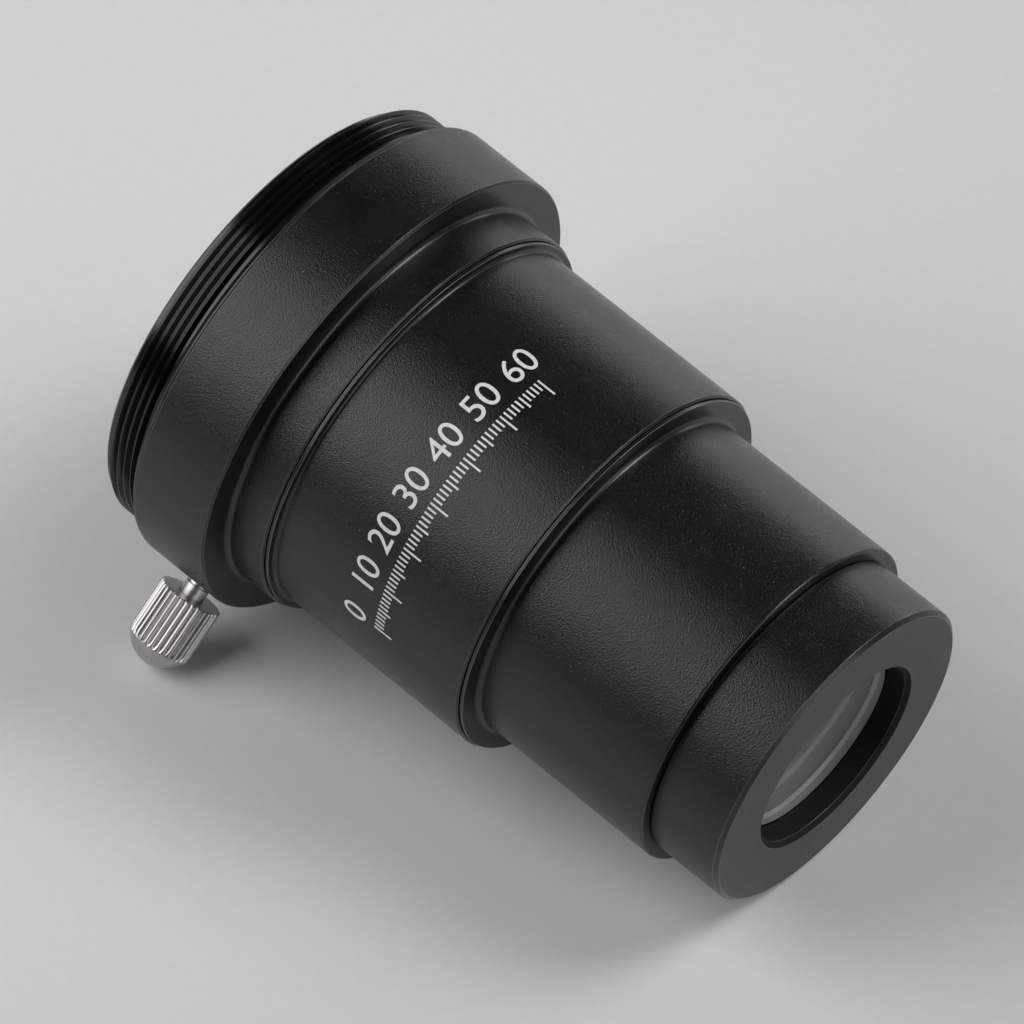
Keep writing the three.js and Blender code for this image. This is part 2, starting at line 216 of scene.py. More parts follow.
# Fine-grained dull surfaces: the grain moves the colour and the surface, unless rings are given.
powderyLooks = {
    # matt black paint against stray light: no shine, a little powdery
    "mattOpticalBlack": {
        "low": "#060607", "high": "#0f0f10", "roughness": 0.8, "ior": 1.35,
        "grainSize": 0.18, "grainHeight": 0.01, "ringSpacing": 0.0},
    # the ground rim of a lens: frosted pale, with fine rings from the edging wheel
    "groundGlassEdge": {
        "low": "#cfd1d1", "high": "#f0f1f1", "roughness": 0.55, "ior": 1.52,
        "grainSize": 0.15, "grainHeight": 0.01, "ringSpacing": 0.25},
    # screen-printed epoxy ink: matt white, slightly uneven where it sits on the grain
    "whiteScreenInk": {
        "low": "#c6c6c6", "high": "#f0f0f0", "roughness": 0.5, "ior": 1.5,
        "grainSize": 0.3, "grainHeight": 0.012, "ringSpacing": 0.0},
}


def powdery(name):
    look = powderyLooks[name]
    material, tree, shader = startMaterial(name, {"Roughness": look["roughness"], "IOR": look["ior"]})
    local = localMm(tree, tubePlace)
    powder = addNode(tree, "ShaderNodeTexNoise", {
        "Vector": local, "Scale": 1 / look["grainSize"], "Detail": 3.0})
    pattern = turningMarks(tree, local, look["ringSpacing"]) if look["ringSpacing"] else powder
    colour = addNode(tree, "ShaderNodeMix", {
        0: pattern, 6: linear(look["low"]), 7: linear(look["high"])}, data_type="RGBA")
    bump = addNode(tree, "ShaderNodeBump", {
        "Height": powder, "Strength": 1.0, "Distance": look["grainHeight"] * mm})
    connect(tree, shader, {"Base Color": colour, "Normal": bump})
    return material


# Both glasses take one index, so that the cemented joint between them bends no light.
glassLook = {
    "colour": "#fdfefd", "ior": 1.52,
    "coatingNanometres": 110.0, "coatingIor": 1.38,    # magnesium fluoride
    "haze": 0.035,
}


def opticalGlass(name):
    # polished and coated: clear, with a faint tint in its reflections and a trace of haze
    material, tree, shader = startMaterial(name, {
        "Base Color": linear(glassLook["colour"]), "IOR": glassLook["ior"],
        "Transmission Weight": 1.0, "Thin Film Thickness": glassLook["coatingNanometres"],
        "Thin Film IOR": glassLook["coatingIor"]})
    smear = addNode(tree, "ShaderNodeTexNoise", {
        "Vector": localMm(tree, tubePlace), "Scale": 0.25, "Detail": 5.0})
    rough = addNode(tree, "ShaderNodeMapRange", {
        0: smear, 1: 0.45, 2: 0.8, 3: 0.0, 4: glassLook["haze"]})
    connect(tree, shader, {"Roughness": rough})
    return material


def opticalCement():
    # clear cement of about the glass's own index: light goes straight through it
    material, tree, shader = startMaterial(
        "opticalCement", {"Base Color": linear("#dfe6df"), "Roughness": 0.4})
    streak = addNode(tree, "ShaderNodeTexNoise", {
        "Vector": localMm(tree, tubePlace), "Scale": 0.5, "Detail": 2.0})
    clear = addNode(tree, "ShaderNodeMapRange", {0: streak, 1: 0.3, 2: 0.8, 3: 0.01, 4: 0.03})
    connect(tree, shader, {"Alpha": clear})
    return material


blasted = anodised("beadBlastedBlackAnodising")
turnedBlack = anodised("turnedBlackAnodising")
threadBlack = anodised("threadCutBlackAnodising")
# the edge finish is partly thin dye and partly a painted highlight on every small round
edgeBlack = anodised("paleEdgeAndPaintedHighlight")
mattPaint = powdery("mattOpticalBlack")
nickel = turnedMetal("brightNickelPlate")
satin = turnedMetal("satinNickelPlate")
brass = turnedMetal("turnedBrass")
crown = opticalGlass("coatedCrownGlass")
flint = opticalGlass("coatedFlintGlass")
edgeGlass = powdery("groundGlassEdge")
cement = opticalCement()
ink = powdery("whiteScreenInk")
print("finishes made")


# How outlines are rounded, in millimetres: rounds below the smallest are broken edges.
rounding = {
    "smallest": 0.2, "smallSteps": 4, "steps": 7,
    "share": 0.45,                                      # the most of a side that a round may take
    "hold": 0.05, "holdShare": 0.3, "holdRoom": 4,      # holding point: how near, and room it needs
}


def roundedOutline(corners, closed):
    # Corners are (along, radius, round, finish); the finish covers the stretch that follows.
    # Each round becomes an arc, with a holding point just beside it to keep the flats flat.
    points = []
    count = len(corners)
    for index, (along, radius, size, finish) in enumerate(corners):
        here = Vector((along, radius))
        before = corners[index - 1]
        after = corners[(index + 1) % count]
        openEnd = not closed and index in (0, count - 1)
        if not size or openEnd:
            points.append((here, finish))
            continue
        back = Vector(before[:2]) - here
        ahead = Vector(after[:2]) - here
        half = back.angle(ahead) / 2
        room = min(back.length, ahead.length) * rounding["share"]
        reach = min(size / math.tan(half), room)
        bend = reach * math.tan(half)
        back.normalize()
        ahead.normalize()
        centre = here + (back + ahead).normalized() * (bend / math.sin(half))
        first, last = here + back * reach, here + ahead * reach
        hold = min(rounding["hold"], reach * rounding["holdShare"])
        lead = (Vector(before[:2]) - first).length
        if lead > rounding["holdRoom"] * hold:
            points.append((first + back * hold, before[3]))
        broken = size < rounding["smallest"]
        steps = rounding["smallSteps"] if broken else rounding["steps"]
        start, end = first - centre, last - centre
        sweep = start.angle_signed(end)
        for step in range(steps + 1):
            spoke = start.copy()
            spoke.rotate(Matrix.Rotation(-sweep * step / steps, 2))
            arc = "edge" if broken else "turned"    # a broken edge shows its thin dye, lightened further as a painted highlight line
            points.append((centre + spoke, arc if step < steps else finish))
        if (Vector(after[:2]) - last).length > rounding["holdRoom"] * hold:
            points.append((last + ahead * hold, finish))
    return points


def turnedPiece(name, piece, place, segments=192, sweep=None):
    # Turns the outline about local Z. sweep is (from, to) in radians for a ring with a gap.
    finishes = piece["finishes"]
    labels = list(finishes)
    closed = piece.get("closed", True)
    points = roundedOutline(piece["outline"], closed)
    build = bmesh.new()
    fromAngle, toAngle = sweep or (0, 2 * math.pi)
    columns = segments + (1 if sweep else 0)
    grid = []
    for column in range(columns):
        angle = fromAngle + (toAngle - fromAngle) * column / segments
        grid.append([build.verts.new((p.y * math.cos(angle), p.y * math.sin(angle), p.x))
                     for p, _ in points])
    rows = len(points) if closed else len(points) - 1
    for column in range(segments):
        left, right = grid[column], grid[(column + 1) % columns]
        for row in range(rows):
            following = (row + 1) % len(points)
            quad = build.faces.new((left[row], right[row], right[following], left[following]))
            quad.material_index = labels.index(points[row][1]) if points[row][1] in labels else 0
    if sweep:
        for cap in (grid[0], grid[-1]):
            build.faces.new(cap)
    bmesh.ops.remove_doubles(build, verts=build.verts, dist=weldGap)
    bmesh.ops.dissolve_degenerate(build, edges=build.edges, dist=weldGap / 10)
    bmesh.ops.recalc_face_normals(build, faces=build.faces)
    return finishPiece(name, build, [finishes[label] for label in labels], place)


def finishPiece(name, build, materials, place):
    mesh = bpy.data.meshes.new(name)
    for face in build.faces:
        face.smooth = True
    build.to_mesh(mesh)
    build.free()
    for material in materials:
        mesh.materials.append(material)
    mesh.transform(place)
    mesh.set_sharp_from_angle(angle=sharpAngle)
    made = bpy.data.objects.new(name, mesh)
    bpy.context.scene.collection.objects.link(made)
    return made


def addShells(target, source):
    # puts source's shells into target's mesh, keeping their materials
    build = bmesh.new()
    build.from_mesh(target.data)
    before = len(build.faces)
    build.from_mesh(source.data)
    build.faces.ensure_lookup_table()
    for material in source.data.materials:
        if material.name not in target.data.materials:
            target.data.materials.append(material)
    names = [material.name for material in target.data.materials]
    for face in build.faces[before:]:
        face.material_index = names.index(source.data.materials[face.material_index].name)
    build.to_mesh(target.data)
    build.free()
    target.data.set_sharp_from_angle(angle=sharpAngle)
    bpy.data.objects.remove(source)


def plainCopy(made):
    # the evaluated shape as a plain mesh, with no modifier left
    bpy.context.view_layer.update()
    evaluated = made.evaluated_get(bpy.context.evaluated_depsgraph_get())
    mesh = bpy.data.meshes.new_from_object(evaluated)
    made.modifiers.clear()
    made.data = mesh
    return made


def startTree(name, sizes):
    tree = bpy.data.node_groups.new(name, "GeometryNodeTree")
    tree.interface.new_socket("Geometry", in_out="INPUT", socket_type="NodeSocketGeometry")
    for label, value in sizes.items():
        kind = "NodeSocketInt" if isinstance(value, int) else "NodeSocketFloat"
        tree.interface.new_socket(label, in_out="INPUT", socket_type=kind).default_value = value
    tree.interface.new_socket("Finish", in_out="INPUT", socket_type="NodeSocketMaterial")
    tree.interface.new_socket("Geometry", in_out="OUTPUT", socket_type="NodeSocketGeometry")
    return tree, addNode(tree, "NodeGroupInput").outputs


def endTree(tree, geometry, finish):
    real = addNode(tree, "GeometryNodeRealizeInstances", {0: geometry})
    smooth = addNode(tree, "GeometryNodeSetShadeSmooth", {0: real})
    painted = addNode(tree, "GeometryNodeSetMaterial", {0: smooth, "Material": finish})
    addNode(tree, "NodeGroupOutput", {0: painted})


def growTree(name, tree, sizes, finish, mesh=None):
    made = bpy.data.objects.new(name, mesh or bpy.data.meshes.new(name))
    bpy.context.scene.collection.objects.link(made)
    modifier = made.modifiers.new(tree.name, "NODES")
    modifier.node_group = tree
    for socket in tree.interface.items_tree:
        if socket.in_out == "INPUT" and socket.name in sizes:
            modifier[socket.identifier] = sizes[socket.name]
        if socket.name == "Finish":
            modifier[socket.identifier] = finish
    plainCopy(made)
    made.data.materials.clear()
    made.data.materials.append(finish)
    for face in made.data.polygons:
        face.material_index = 0
    return made


def threadTree():
    # one ridge along a helix, faded at both ends
    tree, size = startTree("screwThread", {
        "Root Radius": 10.0, "Depth": 0.4, "Pitch": 0.75, "Start": 0.0, "Turns": 5.0,
        "Crest Width": 0.1, "Fade Turns": 0.3, "Points Per Turn": 96})
    height = addNode(tree, "ShaderNodeMath", {
        0: size["Pitch"], 1: size["Turns"]}, operation="MULTIPLY")
    helix = addNode(tree, "GeometryNodeCurveSpiral", {
        "Resolution": size["Points Per Turn"], "Rotations": size["Turns"],
        "Start Radius": size["Root Radius"], "End Radius": size["Root Radius"],
        "Height": height, "Reverse": True})     # counterclockwise: a right-hand thread
    upright = addNode(tree, "GeometryNodeSetCurveNormal", {0: helix}, mode="Z_UP")
    # the section is wide and a little sunk at the root, with a narrow flat crest
    sunk, rootHalf, crestHalf = -0.2, 0.54, 0.5     # shares of depth, pitch and crest width
    section = {}
    for number, (rise, width, share) in enumerate((
            (sunk, "Pitch", -rootHalf), (1.0, "Crest Width", -crestHalf),
            (1.0, "Crest Width", crestHalf), (sunk, "Pitch", rootHalf)), 1):
        outward = addNode(tree, "ShaderNodeMath", {0: size["Depth"], 1: rise}, operation="MULTIPLY")
        aside = addNode(tree, "ShaderNodeMath", {0: size[width], 1: share}, operation="MULTIPLY")
        section[f"Point {number}"] = addNode(tree, "ShaderNodeCombineXYZ", {0: outward, 1: aside})
    profile = addNode(tree, "GeometryNodeCurvePrimitiveQuadrilateral", section, mode="POINTS")
    along = addNode(tree, "GeometryNodeSplineParameter")
    toEnd = addNode(tree, "ShaderNodeMath", {0: 1.0, 1: along}, operation="SUBTRACT")
    nearest = addNode(tree, "ShaderNodeMath", {0: along, 1: toEnd}, operation="MINIMUM")
    turnsIn = addNode(tree, "ShaderNodeMath", {0: nearest, 1: size["Turns"]}, operation="MULTIPLY")
    faded = addNode(tree, "ShaderNodeMath", {0: turnsIn, 1: size["Fade Turns"]}, operation="DIVIDE")
    thick = addNode(tree, "ShaderNodeClamp", {0: faded, 1: 0.04, 2: 1.0})     # never quite nothing
    ridge = addNode(tree, "GeometryNodeCurveToMesh", {
        "Curve": upright, "Profile Curve": profile, "Scale": thick, "Fill Caps": True})
    lifted = addNode(tree, "ShaderNodeCombineXYZ", {2: size["Start"]})
    moved = addNode(tree, "GeometryNodeTransform", {0: ridge, 1: lifted})
    endTree(tree, moved, size["Finish"])
    return tree


helicalThread = threadTree()


def cutThread(name, sizes, finish, place):
    made = growTree(name, helicalThread, sizes, finish)
    build = bmesh.new()
    build.from_mesh(made.data)
    bmesh.ops.remove_doubles(build, verts=build.verts, dist=weldGap)
    bmesh.ops.recalc_face_normals(build, faces=build.faces)
    build.to_mesh(made.data)
    build.free()
    made.data.transform(place)
    return made


# An outline's corners are (distance along the axis, radius, round, finish) in millimetres.
threadRing = {
    "finishes": {"turned": turnedBlack, "edge": edgeBlack, "cut": threadBlack},
    "outline": [
        (0.40, 15.95, 0.05, "turned"), (0.0, 16.35, 0.06, "turned"),
        (0.0, 20.20, 0.10, "turned"), (0.24, 20.44, 0.0, "cut"),
        (4.05, 20.44, 0.0, "cut"), (4.05, 20.92, 0.0, "cut"),
        (4.10, 20.92, 0.0, "turned"), (4.10, 21.375, 0.05, "turned"),
        (4.60, 21.875, 0.05, "turned"), (4.75, 21.875, 0.03, "cut"),
        (4.75, 19.0, 0.0, "cut"), (6.25, 19.0, 0.0, "cut"), (6.25, 15.95, 0.05, "turned")],
    "thread": {"Root Radius": 20.44, "Depth": 0.46, "Pitch": 0.75, "Start": 0.42, "Turns": 4.6,
               "Crest Width": 0.07, "Fade Turns": 0.12, "Points Per Turn": 192},
}
ring = turnedPiece("camera_thread_ring", threadRing, tubePlace)
addShells(ring, cutThread("cameraThread", threadRing["thread"], threadBlack, tubePlace))

eyepieceHolder = {
    "finishes": {"blasted": blasted, "edge": edgeBlack, "turned": turnedBlack, "cut": threadBlack},
    "outline": [
        (4.85, 19.15, 0.0, "turned"), (4.85, 21.98, 0.06, "blasted"),
        (12.40, 21.98, 0.04, "turned"), (12.60, 21.82, 0.04, "turned"),
        (12.60, 19.0, 0.50, "blasted"), (16.45, 19.0, 0.04, "turned"),
        (16.60, 18.85, 0.04, "turned"), (16.60, 17.45, 0.0, "cut"),
        (10.60, 17.45, 0.0, "cut"), (10.60, 15.95, 0.05, "turned"),
        (10.05, 15.95, 0.05, "turned"), (10.05, 17.45, 0.0, "cut"),
        (6.35, 17.45, 0.0, "cut"), (6.35, 19.15, 0.0, "cut")],
    "screwHole": {"radius": 1.36, "from": 15.0, "to": 24.0, "segments": 48},
}
holder = turnedPiece("eyepiece_holder_shell", eyepieceHolder, tubePlace, segments=240)


def drillScrewHole(target, hole):
    build = bmesh.new()
    middle = Matrix.Translation((0, 0, (hole["from"] + hole["to"]) / 2))
    bmesh.ops.create_cone(build, cap_ends=True, segments=hole["segments"], radius1=hole["radius"],
                          radius2=hole["radius"], depth=hole["to"] - hole["from"], matrix=middle)
    drill = finishPiece("screwDrill", build, [threadBlack], screwPlace)
    cut = target.modifiers.new("screwHole", "BOOLEAN")
    cut.object = drill
    cut.solver = "EXACT"
    cut.material_mode = "TRANSFER"
    plainCopy(target)
    target.data.set_sharp_from_angle(angle=sharpAngle)
    bpy.data.objects.remove(drill)


drillScrewHole(holder, eyepieceHolder["screwHole"])

clampRing = {
    "finishes": {"brass": brass},
    "gap": 1.6, "middleRadius": 16.4,
    "outline": [
        (6.45, 16.10, 0.08, "brass"), (6.45, 16.75, 0.08, "brass"),
        (9.95, 16.75, 0.08, "brass"), (9.95, 16.10, 0.08, "brass")],
}
halfGap = clampRing["gap"] / 2 / clampRing["middleRadius"]
clamp = turnedPiece("brass_compression_ring", clampRing, tubePlace,
                    sweep=(screwAngle + math.pi + halfGap, screwAngle + 3 * math.pi - halfGap))
print("head made")

mainTube = {
    "finishes": {"blasted": blasted, "edge": edgeBlack, "turned": turnedBlack, "cut": threadBlack},
    "outline": [
        (10.70, 15.95, 0.05, "turned"), (10.70, 17.30, 0.05, "cut"),
        (16.70, 17.30, 0.0, "cut"), (16.70, 18.75, 0.05, "turned"),
        (17.00, 18.75, 0.05, "turned"), (17.00, 18.0, 0.50, "blasted"),
        (37.45, 18.0, 0.04, "turned"), (37.60, 17.85, 0.04, "turned"),
        (37.60, 16.95, 0.0, "cut"), (32.50, 16.95, 0.0, "cut"),
        (32.50, 14.40, 0.05, "cut"), (31.00, 14.40, 0.05, "turned"),
        (31.00, 15.95, 0.0, "turned")],
}
body = turnedPiece("main_tube_shell", mainTube, tubePlace)

nose = {
    "finishes": {"blasted": blasted, "edge": edgeBlack, "turned": turnedBlack, "cut": threadBlack},
    "outline": [
        (32.60, 13.90, 0.05, "cut"), (32.60, 16.80, 0.05, "cut"),
        (37.70, 16.80, 0.0, "cut"), (37.70, 17.75, 0.05, "turned"),
        (38.00, 17.75, 0.05, "turned"), (38.00, 15.82, 0.50, "blasted"),
        (56.10, 15.82, 0.24, "turned"), (56.10, 14.35, 0.05, "cut"),
        (52.20, 14.35, 0.0, "cut"), (52.20, 13.90, 0.05, "turned")],
}
barrel = turnedPiece("nosepiece_shell", nose, tubePlace)

baffle = {
    "finishes": {"paint": mattPaint},
    "outline": [
        (44.00, 9.40, 0.0, "paint"), (44.20, 9.40, 0.0, "paint"), (44.80, 10.20, 0.05, "paint"),
        (44.80, 13.80, 0.05, "paint"), (44.00, 13.80, 0.05, "paint")],
}
stop = turnedPiece("baffle_stop", baffle, tubePlace)
print("tubes made")

cell = {
    "finishes": {"blasted": blasted, "edge": edgeBlack, "turned": turnedBlack, "cut": threadBlack,
                 "bore": mattPaint},
    "outline": [
        (51.30, 9.85, 0.05, "cut"), (51.30, 11.75, 0.05, "cut"), (52.60, 11.75, 0.0, "cut"),
        (52.60, 13.90, 0.05, "cut"), (56.20, 13.90, 0.0, "cut"), (56.20, 14.75, 0.06, "blasted"),
        (62.95, 14.75, 0.06, "turned"), (63.30, 14.35, 0.06, "turned"),
        (63.30, 9.28, 0.05, "bore"), (62.87, 8.85, 0.04, "bore"),
        (61.10, 8.85, 0.04, "bore"), (61.10, 9.20, 0.0, "bore"),
        (53.10, 9.20, 0.0, "bore"), (53.10, 9.85, 0.0, "bore")],
    "thread": {"Root Radius": 13.90, "Depth": 0.32, "Pitch": 0.6, "Start": 52.9, "Turns": 5.0,
               "Crest Width": 0.07, "Fade Turns": 0.3, "Points Per Turn": 144},
}
lensCell = turnedPiece("lens_cell_shell", cell, tubePlace)
addShells(lensCell, cutThread("filterThread", cell["thread"], threadBlack, tubePlace))

keeper = {
    "finishes": {"paint": mattPaint},
    "outline": [
        (51.40, 7.70, 0.08, "paint"), (51.40, 9.70, 0.08, "paint"),
        (53.00, 9.70, 0.05, "paint"), (53.00, 7.70, 0.05, "paint")],
    "slots": {"wide": 1.4, "deep": 0.8, "long": 24.0},
}
keeperRing = turnedPiece("lens_retaining_keeper", keeper, tubePlace, segments=96)


def millSlots(target, slots, face):
    build = bmesh.new()
    size = Matrix.Diagonal((slots["wide"], slots["long"], 2 * slots["deep"], 1))
    bmesh.ops.create_cube(build, size=1.0, matrix=Matrix.Translation((0, 0, face)) @ size)
    cutter = finishPiece("slotCutter", build, [mattPaint], tubePlace)
    cut = target.modifiers.new("slots", "BOOLEAN")
    cut.object = cutter
    cut.solver = "EXACT"
    plainCopy(target)
    target.data.set_sharp_from_angle(angle=sharpAngle)
    bpy.data.objects.remove(cutter)


millSlots(keeperRing, keeper["slots"], keeper["outline"][0][0])

doublet = {
    "radius": 9.05, "bevel": 0.48, "steps": 40,
    "front": {"rim": 61.0, "curve": 48.0, "bulge": -1},
    "cementFront": {"rim": 58.5, "curve": 26.0, "bulge": -1},
    "cementBack": {"rim": 58.45, "curve": 26.0, "bulge": -1},
    "back": {"rim": 53.1, "curve": 30.0, "bulge": 1},
}


def lensFace(face, finish, outwards):
    # points across a spherical face, from the rim to the axis or back
    radius, curve = doublet["radius"] - doublet["bevel"], face["curve"]
    depth = curve - math.sqrt(curve ** 2 - radius ** 2)
    points = []
    for step in range(doublet["steps"] + 1):
        height = radius * step / doublet["steps"]
        drop = curve - math.sqrt(curve ** 2 - height ** 2)
        points.append((face["rim"] + face["bulge"] * (depth - drop), height, 0.0, finish))
    return points if outwards else points[::-1]


def lensElement(name, ahead, behind, frontFinish, backFinish):
    # ahead faces the lens end; the ground rim has a small bevel at each face
    radius, bevel = doublet["radius"], doublet["bevel"]
    outline = lensFace(ahead, "front", True)
    outline[-1] = outline[-1][:3] + ("rim",)
    outline.append((ahead["rim"] - bevel, radius, 0.0, "rim"))
    outline.append((behind["rim"] + bevel, radius, 0.0, "rim"))
    outline += lensFace(behind, "back", False)
    piece = {"finishes": {"front": frontFinish, "rim": edgeGlass, "back": backFinish},
             "outline": outline, "closed": False}
    return turnedPiece(name, piece, tubePlace, segments=128)


frontGlass = lensElement("front_lens_glass", doublet["front"], doublet["cementFront"], crown, cement)
rearGlass = lensElement("rear_lens_glass", doublet["cementBack"], doublet["back"], cement, flint)
print("lens made")

stud = {
    "finishes": {"turned": nickel, "neck": satin},
    "closed": False,
    "outline": [
        (18.40, 0.0, 0.0, "turned"), (18.40, 0.80, 0.05, "turned"), (18.62, 1.02, 0.0, "turned"),
        (22.62, 1.02, 0.0, "turned"), (22.72, 1.12, 0.0, "neck"), (27.0, 1.12, 0.05, "neck"),
        (27.0, 0.0, 0.0, "turned")],
    "thread": {"Root Radius": 1.02, "Depth": 0.28, "Pitch": 0.45, "Start": 18.75, "Turns": 8.3,
               "Crest Width": 0.07, "Fade Turns": 0.35, "Points Per Turn": 40},
}
screwStud = turnedPiece("thumbscrew_threaded_stud", stud, screwPlace, segments=64)
addShells(screwStud, cutThread("studThread", stud["thread"], nickel, screwPlace))

knob = {
    "radius": 2.90, "base": 23.80, "baseBevel": 0.06, "bore": 1.15, "boreBevel": 0.1, "boreEnd": 27.1,
    "knurlEnd": 29.0, "knurlMargin": 0.3, "knurlRows": 24,
    # a soft shoulder from the knurl into the dome: (past the knurl's end, radius)
    "shoulder": [(-0.20, 2.89), (-0.10, 2.865), (-0.02, 2.815), (0.08, 2.74), (0.22, 2.64),
                 (0.38, 2.515), (0.54, 2.375)],
    "tip": 30.78, "domeRim": 2.69, "domeDegrees": 52, "domeRows": 14,
    "knurl": {"Flutes": 30, "Flute Depth": 0.24, "Flute Power": 1.9, "Inner Radius": 2.2,
              "Knurl Start": 23.92, "Knurl End": 29.05, "Run Out": 0.55},
    "columnsPerFlute": 14, "sharpDegrees": 38,
}


def knobOutline():
    base, bevel, radius, bore = knob["base"], knob["baseBevel"], knob["radius"], knob["bore"]
    corners = [(knob["boreEnd"], 0.0, 0.0, "bore"), (knob["boreEnd"], bore, 0.0, "bore"),
               (base + knob["boreBevel"], bore, 0.0, "bore"),
               (base, bore + knob["boreBevel"], 0.0, "face"),
               (base, radius - bevel, 0.0, "knurl")]
    length = knob["knurlEnd"] - knob["knurlMargin"] - base - bevel
    for row in range(knob["knurlRows"]):
        corners.append((base + bevel + length * row / knob["knurlRows"], radius, 0.0, "knurl"))
    for past, height in knob["shoulder"]:
        corners.append((knob["knurlEnd"] + past, height, 0.0, "dome"))
    # the dome is a part of a ball through its rim and the tip
    rise = knob["tip"] - knob["knurlEnd"]
    dome = (knob["domeRim"] ** 2 + rise ** 2) / (2 * rise)
    for row in range(knob["domeRows"] + 1):
        angle = math.radians(knob["domeDegrees"]) * (1 - row / knob["domeRows"])
        along = knob["tip"] - dome + dome * math.cos(angle)
        corners.append((along, dome * math.sin(angle), 0.0, "dome"))
    return corners


def knurlTree():
    # sinks flutes into a turned surface, running out towards both ends
    tree, size = startTree("straightKnurl", {
        "Flutes": 30, "Flute Depth": 0.2, "Flute Power": 2.0, "Inner Radius": 2.0,
        "Knurl Start": 0.0, "Knurl End": 5.0, "Run Out": 0.4})
    place = addNode(tree, "GeometryNodeInputPosition")
    x, y, z = addNode(tree, "ShaderNodeSeparateXYZ", {0: place}).outputs
    # round the knob, aside goes from 0 on a crest to 1 in the middle of a flute
    angle = addNode(tree, "ShaderNodeMath", {0: y, 1: x}, operation="ARCTAN2")
    turns = addNode(tree, "ShaderNodeMath", {0: angle, 1: 2 * math.pi}, operation="DIVIDE")
    share = addNode(tree, "ShaderNodeMath", {
        0: turns, 1: size["Flutes"], 2: 0.5}, operation="MULTIPLY_ADD")
    part = addNode(tree, "ShaderNodeMath", {0: share}, operation="FRACT")
    around = addNode(tree, "ShaderNodeMath", {0: part, 1: 2.0, 2: -1.0}, operation="MULTIPLY_ADD")
    aside = addNode(tree, "ShaderNodeMath", {0: around}, operation="ABSOLUTE")
    groove = addNode(tree, "ShaderNodeMath", {0: aside, 1: size["Flute Power"]}, operation="POWER")
    # only the outer skin is fluted, so the bore stays round
    flat = addNode(tree, "ShaderNodeVectorMath", {0: place, 1: (1, 1, 0)}, operation="MULTIPLY")
    radius = addNode(tree, "ShaderNodeVectorMath", {0: flat}, operation="LENGTH")
    outer = addNode(tree, "ShaderNodeMath", {
        0: radius, 1: size["Inner Radius"]}, operation="GREATER_THAN")
    # flutes fade out before the dome and start part deep at the base
    toEnd = addNode(tree, "ShaderNodeMath", {0: size["Knurl End"], 1: z}, operation="SUBTRACT")
    fade = addNode(tree, "ShaderNodeMapRange", {
        0: toEnd, 1: 0.0, 2: size["Run Out"], 3: 0.0, 4: 1.0}, interpolation_type="SMOOTHSTEP")
    fromStart = addNode(tree, "ShaderNodeMath", {0: z, 1: size["Knurl Start"]}, operation="SUBTRACT")
    lead = addNode(tree, "ShaderNodeMapRange", {
        0: fromStart, 1: -0.2, 2: 0.05, 3: 0.55, 4: 1.0}, interpolation_type="SMOOTHSTEP")
    depth = groove
    for factor in (size["Flute Depth"], fade, lead, outer, -1.0):
        depth = addNode(tree, "ShaderNodeMath", {0: depth, 1: factor}, operation="MULTIPLY")
    outward = addNode(tree, "ShaderNodeVectorMath", {0: flat}, operation="NORMALIZE")
    shift = addNode(tree, "ShaderNodeVectorMath", {0: outward, "Scale": depth}, operation="SCALE")
    sunk = addNode(tree, "GeometryNodeSetPosition", {0: size["Geometry"], "Offset": shift})
    endTree(tree, sunk, size["Finish"])
    return tree


# the knurled side and the dome differ in finish, which the tree does not keep
blank = turnedPiece("knobBlank", {
    "finishes": {"knurl": nickel, "bore": nickel, "face": nickel, "dome": satin},
    "outline": knobOutline(), "closed": False}, Matrix.Identity(4),
    segments=knob["knurl"]["Flutes"] * knob["columnsPerFlute"])
onDome = [blank.data.materials[face.material_index] == satin for face in blank.data.polygons]
screwKnob = growTree("thumbscrew_knurled_knob", knurlTree(), knob["knurl"], nickel, blank.data.copy())
bpy.data.objects.remove(blank)
screwKnob.data.materials.clear()
for finish in (nickel, satin):
    screwKnob.data.materials.append(finish)
for face, isSatin in zip(screwKnob.data.polygons, onDome):
    face.material_index = 1 if isSatin else 0
screwKnob.data.transform(screwPlace)
screwKnob.data.set_sharp_from_angle(angle=math.radians(knob["sharpDegrees"]))
print("thumbscrew made")

# The white print is a plain graduated scale round the main tube.
scale = {
    "tubeRadius": 18.0, "inkThickness": 0.025, "inkLift": 0.4,    # lift as a share of thickness
    "startAngle": 90.5, "endAngle": 177.5,      # degrees round the tube from straight down
    "figures": 7, "figureStep": 10, "figureHeight": 2.4, "figureBase": 27.2,
    "figureShare": 0.70,                        # height of a figure in the font's own size
    "ticksPerFigure": 10, "tickTop": 28.2, "tickLong": 1.9, "tickWidth": 0.17,
}
inkRadius = scale["tubeRadius"] + scale["inkThickness"] * scale["inkLift"]


